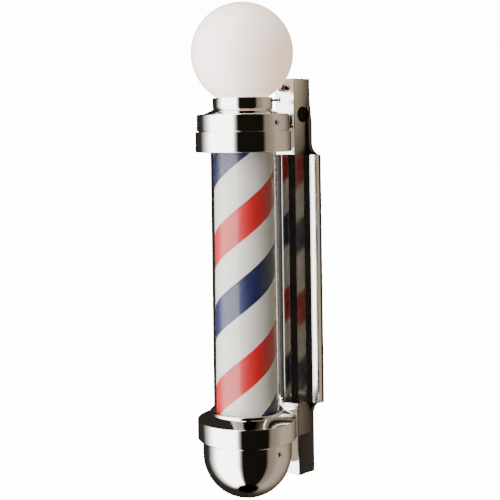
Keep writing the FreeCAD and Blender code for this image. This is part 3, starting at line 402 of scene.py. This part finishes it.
def clear_glass():
    mat, shader = material("clear_glass", (0.985, 0.99, 0.985), 0.0, 0.0, IOR=1.2,
                           Transmission_Weight=1.0)
    polish(mat, shader, 0.0, 0.012, 9.0)
    return mat


def opal_glass():
    # The emission is painted light: a warm glow that brightens the opal globe beyond what its surroundings light.
    mat, shader = material("opal_glass", (0.93, 0.90, 0.87), 0.0, 0.06, IOR=1.5,
                           Emission_Strength=1.0)
    shader.inputs["Emission Color"].default_value = (1.10, 0.74, 0.54, 1)
    polish(mat, shader, 0.03, 0.09, 12.0)
    return mat


def plain_finish(name, colour, metallic, smooth, smeared, scale=60.0, bump=0.05):
    mat, shader = material(name, colour, metallic)
    polish(mat, shader, smooth, smeared, scale, bump=bump)
    return mat


FINISH = {
    "chrome": chrome_plate(),
    "polished_sheet": polished_sheet(),
    "cast_frame": ground_casting(),
    "striped_drum": striped_sheet(),
    "clear_glass": clear_glass(),
    "opal_glass": opal_glass(),
    "screw_steel": plain_finish("screw_steel", (0.66, 0.64, 0.61), 1.0, 0.10, 0.2),
    "thumbscrew": plain_finish("dull_plated_steel", (0.30, 0.27, 0.235), 1.0, 0.25, 0.4),
    "blank_plate": plain_finish("dark_plate", (0.035, 0.034, 0.032), 0.0, 0.4, 0.55),
    "plated_steel": plain_finish("zinc_plate", (0.60, 0.60, 0.58), 1.0, 0.25, 0.4),
    "brass": plain_finish("turned_brass", (0.72, 0.55, 0.27), 1.0, 0.18, 0.3),
    "aluminium_cap": plain_finish("turned_aluminium", (0.78, 0.78, 0.78), 1.0, 0.2, 0.32),
    "rubber": plain_finish("black_rubber", (0.025, 0.025, 0.025), 0.0, 0.6, 0.8),
    "nylon": plain_finish("natural_nylon", (0.80, 0.77, 0.70), 0.0, 0.4, 0.5),
    "phenolic": plain_finish("phenolic", (0.035, 0.03, 0.027), 0.0, 0.2, 0.35),
    "enamel": plain_finish("dark_enamel", (0.06, 0.065, 0.07), 0.0, 0.25, 0.4),
    "frosted_glass": plain_finish("frosted_bulb", (0.88, 0.87, 0.85), 0.0, 0.35, 0.45),
    "magnet": plain_finish("ferrite", (0.06, 0.06, 0.065), 0.0, 0.5, 0.7),
    "winding": plain_finish("enamelled_winding", (0.42, 0.16, 0.05), 0.3, 0.35, 0.5),
}


def dress(obj, slot):
    obj.data.materials.clear()
    obj.data.materials.append(FINISH[slot])


def place(obj, body, slot, node=None):
    """Gives a finished piece its finish and the body that it moves with."""
    dress(obj, slot)
    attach(obj, body)
    if node:
        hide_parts(node)
    return obj


for row in frame["record"]["subparts"]:
    dress(frame["nodes"][row["node"]], row["material_slot"])


# ---- globe and its holder ------------------------------------------------
def build_globe():
    wall = 3.0 * MM
    neck = 45.7 * MM
    lip_radius = 49.2 * MM
    lip_high = globe_rim + 4.5 * MM
    lip_edge = 1.0 * MM
    rim_edge = 0.8 * MM
    fillet = 0.6 * MM
    centre = globe_top - globe_radius
    inner = globe_radius - wall
    start = math.degrees(math.asin(-math.sqrt(globe_radius ** 2 - neck ** 2) / globe_radius))
    start_in = math.degrees(math.asin(-math.sqrt(inner ** 2 - (neck - wall) ** 2) / inner))
    neck_inside = neck - wall
    profile = [(neck_inside, globe_rim + rim_edge)]
    profile += bend(neck_inside + rim_edge, globe_rim + rim_edge, rim_edge, 180, 270, 4)[1:]
    profile += bend(lip_radius - lip_edge, globe_rim + lip_edge, lip_edge, -90, 0, 4)
    profile += bend(lip_radius - lip_edge, lip_high - lip_edge, lip_edge, 0, 90, 4)
    profile += [(neck + fillet, lip_high), (neck, lip_high + rim_edge)]
    profile += bend(0, centre, globe_radius, start, 90, 64)
    profile += bend(0, centre, inner, 90, start_in, 40)
    profile.append((neck_inside, globe_rim + rim_edge))
    place(turned("globe_shell", profile), "frame", "opal_glass", "globe")


def build_holder():
    wall = 1.5 * MM
    edge = 1.0 * MM
    profile = [(pipe_bore, holder_low), (holder_radius - edge, holder_low)]
    profile += bend(holder_radius - edge, holder_low + edge, edge, -90, 0, 5)
    profile += bend(holder_radius - wall / 2, holder_high - wall / 2, wall / 2, 0, 180, 10)
    profile += [(holder_radius - wall, holder_low + wall), (pipe_bore, holder_low + wall),
                (pipe_bore, holder_low)]
    place(turned("holder_ring", profile), "frame", "chrome", "globe_holder")


def build_top_cap():
    """Domed cover: a straight band, a rounded edge and a hollow sweep up to the holder."""
    wall = 2.0 * MM
    edge = 3.0 * MM
    rim_edge = 0.5 * MM
    rim_flat = 1.2 * MM
    inner_flare = 2.0 * MM
    inner_foot = 3.0 * MM
    shoulder = cap_low + 29.5 * MM
    waist = 52.0 * MM
    foot = cap_radius - edge
    rise = cap_high - shoulder
    run = foot - waist
    profile = [(cap_radius - rim_flat, cap_low), (cap_radius - 0.8 * rim_edge, cap_low)]
    profile += bend(cap_radius - rim_edge, cap_low + rim_edge, rim_edge, -60, 0, 3)
    profile += bend(cap_radius - edge, shoulder - edge, edge, 0, 90, 10)
    count = 18
    for k in range(1, count + 1):
        t = math.pi / 2 * k / count
        profile.append((foot - run * math.sin(t), shoulder + rise * (1 - math.cos(t))))
    profile += [(pipe_bore, cap_high), (pipe_bore, cap_high - wall),
                (waist - inner_flare, cap_high - wall), (foot - inner_foot, shoulder - wall),
                (cap_radius - wall, shoulder - edge - wall), (cap_radius - wall, cap_low),
                (cap_radius - rim_flat, cap_low)]
    place(turned("cap_cover", profile), "frame", "chrome", "top_cap")


def build_upper_ring():
    edge = 1.5 * MM
    top_edge = 0.5 * MM
    spigot = cap_radius - 3.0 * MM
    spigot_wall = 3.0 * MM
    spigot_high = ring_high + 19 * MM
    hole = glass_radius + 1.4 * MM
    sleeve_wall = 3.0 * MM
    sleeve_high = glass_high - 2 * MM
    wall = 4.0 * MM
    step, slope = 5 * MM, 9 * MM
    profile = [(hole, ring_low), (ring_radius - edge, ring_low)]
    profile += bend(ring_radius - edge, ring_low + edge, edge, -90, 0, 6)[1:]
    profile += bend(ring_radius - top_edge, ring_high - top_edge, top_edge, 0, 90, 4)
    profile += [(spigot, ring_high), (spigot, spigot_high), (spigot - spigot_wall, spigot_high),
                (spigot - spigot_wall, ring_high - step),
                (ring_radius - wall, ring_high - slope), (ring_radius - wall, ring_low + wall),
                (hole + sleeve_wall, ring_low + wall), (hole + sleeve_wall, sleeve_high),
                (hole, sleeve_high), (hole, ring_low)]
    place(turned("ring_band", profile), "frame", "chrome", "upper_ring")
    build_ring_lug()


def build_ring_lug():
    """Arm from the ring back to the upper block, hollowed where the ring passes."""
    half = 25 * MM
    near = axis_y + 70 * MM
    lift = 5 * MM
    hollow = 81 * MM
    lug = block("ring_lug", (-half, near, ring_low + lift),
                (half, block_front, ring_high + lift), 1.2 * MM)
    low, high = ring_low - 9 * MM, ring_high + 20 * MM
    core = turned("lug_cutter", [(0, low), (hollow, low), (hollow, high), (0, high)])
    place(settle(cut(lug, core)), "frame", "cast_frame")


# ---- glass, drum, collar and dome ----------------------------------------
def build_glass():
    wall = 3.0 * MM
    half = wall / 2
    profile = [(glass_radius - wall, glass_low + half)]
    profile += bend(glass_radius - half, glass_low + half, half, 180, 360, 8)[1:]
    profile += bend(glass_radius - half, glass_high - half, half, 0, 180, 8)
    profile.append((glass_radius - wall, glass_low + half))
    pane = place(turned("glass_tube", profile), "frame", "clear_glass", "glass_cylinder")
    pane.visible_shadow = False


def build_drum():
    wall = 1.0 * MM
    inner = drum_radius - wall
    count = 24
    profile = [(inner, drum_low)]
    profile += [(drum_radius, drum_low + (drum_high - drum_low) * k / count)
                for k in range(count + 1)]
    profile += [(inner, drum_high), (inner, drum_low)]
    place(turned("drum_sheet", profile), "drum", "striped_drum", "striped_drum")


def build_collar():
    edge = 3.0 * MM
    bore_edge = 0.5 * MM
    lip_edge = 1.2 * MM
    brow_edge = 1.6 * MM
    lip = 63.7 * MM
    pocket = glass_radius + 1.3 * MM
    seat = glass_low - 3 * MM
    floor_bore = drum_radius + 1.5 * MM
    low = collar_high - 49.4 * MM
    cone_low = collar_high - 14.9 * MM
    skirt = dome_radius - 2.15 * MM
    skirt_inside = skirt - 3 * MM
    groove = dome_radius + 0.15 * MM
    groove_high = low + 7 * MM
    profile = [(pocket, seat), (pocket, collar_high - bore_edge)]
    profile += bend(pocket + bore_edge, collar_high - bore_edge, bore_edge, 180, 90, 3)[1:]
    profile += bend(lip - lip_edge, collar_high - lip_edge, lip_edge, 90, 0, 5)
    profile += [(lip, collar_high - 4.2 * MM), (lip + 0.3 * MM, collar_high - 4.9 * MM),
                (lip + 1.0 * MM, collar_high - 5.3 * MM)]
    profile += bend(collar_radius - brow_edge, cone_low - 1.4 * MM, brow_edge, 66, 0, 6)
    profile += bend(collar_radius - edge, low + edge, edge, 0, -90, 8)
    profile += [(groove, low), (groove, groove_high), (skirt, groove_high),
                (skirt, skirt_low), (skirt_inside, skirt_low),
                (skirt_inside, cone_low - 8 * MM), (68 * MM, seat - 7 * MM),
                (floor_bore, seat - 4 * MM), (floor_bore, seat), (pocket, seat)]
    place(turned("collar_band", profile), "frame", "chrome", "lower_collar")
    build_collar_lug(low, cone_low)


def build_collar_lug(low, cone_low):
    """Arm from the collar back to the lower block, with a hollow sweep underneath."""
    half = 22.5 * MM
    top = cone_low - 1.0 * MM
    near = axis_y + 71 * MM
    inner = axis_y + 60 * MM
    sweep = 18 * MM
    hollow = 79.2 * MM
    points = []
    count = 12
    for k in range(count + 1):
        t = math.pi / 2 * k / count
        points.append((-half, block_front - (block_front - near) * math.sin(t),
                       lug_low + sweep * (1 - math.cos(t))))
    points += [(-half, near, low), (-half, inner, low), (-half, inner, top),
               (-half, block_front, top)]
    lug = drawn("collar_lug", points, (2 * half, 0, 0), close=True)
    settle(lug)
    deselect()
    lug.select_set(True)
    bpy.context.view_layer.objects.active = lug
    soft = lug.modifiers.new("soft_edges", "BEVEL")
    soft.width = 1.6 * MM
    soft.segments = 3
    soft.limit_method = "ANGLE"
    bpy.ops.object.modifier_apply(modifier=soft.name)
    foot, head = frame_low.z - CLEAR, cone_low + CLEAR
    core = turned("lug_cutter", [(0, foot), (hollow, foot), (hollow, head), (0, head)])
    place(settle(cut(lug, core), 30), "frame", "chrome")


def build_dome():
    wall = 2.0 * MM
    centre = dome_low + dome_radius
    inner = dome_radius - wall
    profile = bend(0, centre, dome_radius, -90, 0, 40)
    profile += [(dome_radius, dome_high), (inner, dome_high)]
    profile += bend(0, centre, inner, 0, -90, 30)
    place(turned("dome_shell", profile), "frame", "chrome", "dome_cup")


# ---- panel, nut and screws ----------------------------------------------
def panel_line():
    """The casing's outline: dished steps climbing to a ridge, as (x, depth)."""
    half = (panel_high.x - panel_low.x) / 2
    ridge = -panel_low.y
    right = [(0, ridge), (12.0 * MM, 46.0 * MM), (17.5 * MM, 34.5 * MM), (33.0 * MM, 29.0 * MM),
             (38.0 * MM, 18.5 * MM), (half, 13.0 * MM)]
    hollow = 0.55 * MM      # how far every other step is dished
    soft = 0.35 * MM        # trimmed off each corner
    count = 10
    line = []
    for step, ((x0, y0), (x1, y1)) in enumerate(zip(right, right[1:])):
        trim = soft / math.hypot(x1 - x0, y1 - y0)
        bow = hollow if step % 2 == 0 else 0
        for k in range(count + 1):
            t = trim + (1 - 2 * trim) * k / count
            dish = bow * (1 - (2 * t - 1) ** 2)
            line.append((x0 + (x1 - x0) * t, y0 + (y1 - y0) * t - dish))
    return half, [(-x, y) for x, y in reversed(line)] + line


def build_panel():
    """Stepped casing between the end blocks."""
    back = -panel_high.y
    edge = 0.5 * MM
    half, line = panel_line()
    line = [(-half, back), (-half, line[0][1] - edge)] + line
    line += [(half, line[-1][1] - edge), (half, back)]
    points = [(x, -depth, panel_low.z) for x, depth in line]
    casing = drawn("stepped_casing", points, (0, 0, panel_high.z - panel_low.z), close=True)
    place(settle(casing, 14), "frame", "polished_sheet", "ribbed_panel")


def build_cap_nut():
    """Acorn nut with six flats below a round crown, on its washer."""
    edge = 0.5 * MM
    half_flat = 6 * MM
    past = 1 * MM
    toward = Vector((0, -1, 0))
    low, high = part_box("hanger_cap_nut")
    radius = (high.x - low.x) / 2
    depth = high.y - low.y
    middle = Vector((0, high.y, (low.z + high.z) / 2))
    skirt = depth - radius
    crown = radius * 0.985
    across_flats = radius * 0.91
    profile = [(0, 0), (radius - edge, 0), (radius, edge), (radius, skirt * 0.86)]
    profile += bend(0, skirt, crown, 4, 90, 18)
    nut = turned("acorn_nut", profile, middle, toward, 66, 30)
    for k in range(6):
        a = math.radians(60 * k)
        out = Vector((math.cos(a), 0, math.sin(a)))
        chip = block("flat_cutter", (-half_flat, -skirt, -half_flat),
                     (half_flat, past, half_flat))
        chip.rotation_euler = (0, -a, 0)
        chip.location = middle + out * (across_flats + half_flat)
        cut(nut, chip)
    place(settle(nut, 30), "frame", "chrome", "hanger_cap_nut")
    low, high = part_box("hanger_washer")
    outer = (high.x - low.x) / 2
    thick = high.y - low.y
    bore = 4.5 * MM
    profile = [(bore, 0), (outer, 0), (outer, thick - edge), (outer - edge, thick),
               (bore, thick), (bore, 0)]
    washer = turned("nut_washer", profile, middle + Vector((0, thick, 0)), toward, SMALL)
    place(washer, "frame", "chrome", "hanger_washer")


def side_screw(name, radius, height, side, head, rise):
    """Slotted oval-head screw on the +X or -X side of a turned piece."""
    shank = 2.0 * MM
    length = 5 * MM
    sink = 0.1 * MM
    rim = 0.25 * MM
    half_slot = 0.7 * MM
    slot_turn = math.radians(35)
    deep = 0.5              # the cutter's half depth
    out = Vector((side, 0, 0))
    seat = Vector((side * radius, axis_y, height))
    ball = (head ** 2 + rise ** 2) / (2 * rise)
    span = math.degrees(math.asin(head / ball))
    profile = [(0, -length), (shank, -length), (shank, -sink), (head - 0.3 * MM, -sink),
               (head, rim)]
    profile += bend(0, rise - ball, ball, 90 - span * 0.97, 90, 10)
    screw = turned(name, profile, seat, out, SMALL)
    slot = block("slot_cutter", (-deep, -half_slot, -head * 1.2), (deep, half_slot, head * 1.2))
    slot.location = seat + out * (deep + rise * 0.45)
    slot.rotation_euler = (slot_turn, 0, 0)
    return settle(cut(screw, slot), 30)


def build_side_screws():
    for node, radius in (("cap_screws", cap_radius), ("dome_screws", dome_radius)):
        low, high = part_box(node)
        head = (high.z - low.z) / 2
        height = (high.z + low.z) / 2
        rise = high.x - radius
        right = side_screw(node + "_right", radius, height, 1, head, rise)
        left = side_screw(node + "_left", radius, height, -1, head, rise)
        place(join(right, [left]), "frame", "screw_steel", node)


def across_along(node, direction):
    """Length of a node along a direction."""
    reach = [v.co.dot(direction) for v in frame["nodes"][node].data.vertices]
    return max(reach) - min(reach)


def thumbscrew_profile(total):
    """Threaded shank with a flat round head, from its tip at height 0."""
    crest = 2.5 * MM
    root = 2.15 * MM
    tip = 1.7 * MM
    tip_shoulder = 1.9 * MM
    head = 5.0 * MM
    edge = 0.4 * MM
    turns = 9
    under_head = total - 2.0 * MM
    pitch = (under_head - 3 * MM) / turns
    profile = [(0, 0), (tip, 0), (tip_shoulder, 1 * MM), (crest, 1.4 * MM)]
    for k in range(turns):
        z = 1.6 * MM + k * pitch
        profile += [(crest, z), (root, z + pitch / 2)]
    profile += [(2.3 * MM, under_head - 1 * MM), (2.6 * MM, under_head),
                (head - edge, under_head), (head, under_head + edge), (head, total - edge),
                (head - edge, total), (1.5 * MM, total), (0, total)]
    return profile


def build_thumbscrews():
    tip_radius = 46.05 * MM
    for joint in frame["joints"]:
        if not joint["name"].startswith("thumbscrew"):
            continue
        node = joint["child"]
        out = Vector(joint["axis"])
        low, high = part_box(node)
        height = (low.z + high.z) / 2
        seat = Vector((0, axis_y, height)) + out * tip_radius
        profile = thumbscrew_profile(across_along(node, out))
        screw = turned(node + "_knurled", profile, seat, out, 60, 30)
        place(screw, node, "thumbscrew", node)


def build_blank_plate():
    low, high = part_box("blank_plate")
    edge = 0.22 * MM
    plate = block("plain_plate", low, high, edge)
    place(plate, "frame", "blank_plate", "blank_plate")


build_globe()
build_holder()
build_top_cap()
build_upper_ring()
build_glass()
build_drum()
build_collar()
build_dome()
build_panel()
build_cap_nut()
build_side_screws()
build_thumbscrews()
build_blank_plate()


# ---- floor, light and camera --------------------------------------------
view_angle = math.radians(-45)
eye_distance = 1.91
eye_height = 262.5 * MM
focal_share = 2.2          # focal length in picture widths
side_shift, drop_shift = 0.0138, -0.238
lean = math.radians(-0.8)
floor_size, floor_height = 40, -0.62
white_air = 14.0           # brightness of the plain surroundings as seen directly
screen = 8.0               # brightness of the soft white screen
screen_foot = -76, -70     # degrees: the screen fades out between these heights
to_eye = Vector((math.cos(view_angle), math.sin(view_angle), 0))


def build_floor():
    deselect()
    bpy.ops.mesh.primitive_plane_add(size=floor_size, location=(0, 0, floor_height))
    floor = bpy.context.object
    floor.name = "floor"
    mat, shader = material("pale_floor", (0.9, 0.9, 0.9), 0.0, 0.7)
    shader.inputs["Emission Color"].default_value = (1, 1, 1, 1)
    shader.inputs["Emission Strength"].default_value = white_air
    floor.data.materials.append(mat)
    floor.visible_glossy = False
    floor.visible_transmission = False
    floor.visible_diffuse = False


# Colour of the surroundings, by degrees round to the right of the eye's direction.
ROOM = [
    (-180, (0.004, 0.003, 0.002)),
    (-134, (0.005, 0.0045, 0.004)),
    (-121, (0.008, 0.0075, 0.007)),
    (-113, (0.05, 0.047, 0.044)),
    (-104, (0.16, 0.153, 0.148)),
    (-95, (0.45, 0.44, 0.43)),
    (-84, (1.0, 0.99, 0.98)),
    (-27, (1.0, 0.99, 0.98)),
    (-19, (0.10, 0.092, 0.086)),
    (-13, (0.0016, 0.0013, 0.0009)),
    (49, (0.0014, 0.0011, 0.0008)),
    (57, (0.041, 0.033, 0.0245)),
    (72, (0.051, 0.043, 0.034)),
    (88, (0.080, 0.066, 0.050)),
    (118, (0.070, 0.057, 0.043)),
    (137, (0.038, 0.031, 0.023)),
    (154, (0.017, 0.013, 0.010)),
    (170, (0.005, 0.004, 0.003)),
]


def build_world():
    """Studio surroundings: a tall white screen to the left of the camera, a dark room
    behind it and a warm grey wall to the right.  Seen directly, the air is white."""
    world = bpy.data.worlds.new("studio")
    bpy.context.scene.world = world
    world.use_nodes = True
    nodes, links = world.node_tree.nodes, world.node_tree.links
    nodes.clear()
    direction = nodes.new("ShaderNodeSeparateXYZ")
    links.new(nodes.new("ShaderNodeTexCoord").outputs["Generated"], direction.inputs[0])
    turn = math_node(nodes, links, "ARCTAN2", direction.outputs["Y"], direction.outputs["X"])
    turn = math_node(nodes, links, "SUBTRACT", turn, view_angle)
    turn = math_node(nodes, links, "DIVIDE", turn, 2 * math.pi)
    turn = math_node(nodes, links, "FRACT", math_node(nodes, links, "ADD", turn, 0.5))
    ramp = nodes.new("ShaderNodeValToRGB")
    links.new(turn, ramp.inputs["Fac"])
    elements = ramp.color_ramp.elements
    while len(elements) < len(ROOM):
        elements.new(0.5)
    for element, (degrees, colour) in zip(elements, ROOM):
        element.position = degrees / 360 + 0.5
        element.color = (*colour, 1)
    low_edge = nodes.new("ShaderNodeMapRange")
    dark, lit = (math.sin(math.radians(a)) for a in screen_foot)
    low_edge.inputs["From Min"].default_value = dark
    low_edge.inputs["From Max"].default_value = lit
    links.new(direction.outputs["Z"], low_edge.inputs["Value"])
    strength = math_node(nodes, links, "MULTIPLY", low_edge.outputs["Result"], screen)
    room = nodes.new("ShaderNodeBackground")
    links.new(ramp.outputs["Color"], room.inputs["Color"])
    links.new(strength, room.inputs["Strength"])
    air = nodes.new("ShaderNodeBackground")
    air.inputs["Color"].default_value = (1, 1, 1, 1)
    air.inputs["Strength"].default_value = white_air
    path = nodes.new("ShaderNodeLightPath")
    mixer = nodes.new("ShaderNodeMixShader")
    links.new(path.outputs["Is Camera Ray"], mixer.inputs["Fac"])
    links.new(room.outputs[0], mixer.inputs[1])
    links.new(air.outputs[0], mixer.inputs[2])
    links.new(mixer.outputs[0], nodes.new("ShaderNodeOutputWorld").inputs["Surface"])


def build_camera():
    data = bpy.data.cameras.new("camera")
    camera = bpy.data.objects.new("camera", data)
    bpy.context.scene.collection.objects.link(camera)
    data.sensor_width = 36
    data.lens = focal_share * data.sensor_width
    data.shift_x = side_shift
    data.shift_y = drop_shift
    target = AXIS + Vector((0, 0, eye_height))
    camera.location = target + to_eye * eye_distance
    facing = (-to_eye).to_track_quat("-Z", "Y")
    camera.rotation_euler = facing.to_euler()
    camera.rotation_euler.rotate_axis("Z", lean)
    data.clip_end = 100
    bpy.context.scene.camera = camera


build_floor()
build_world()
build_camera()
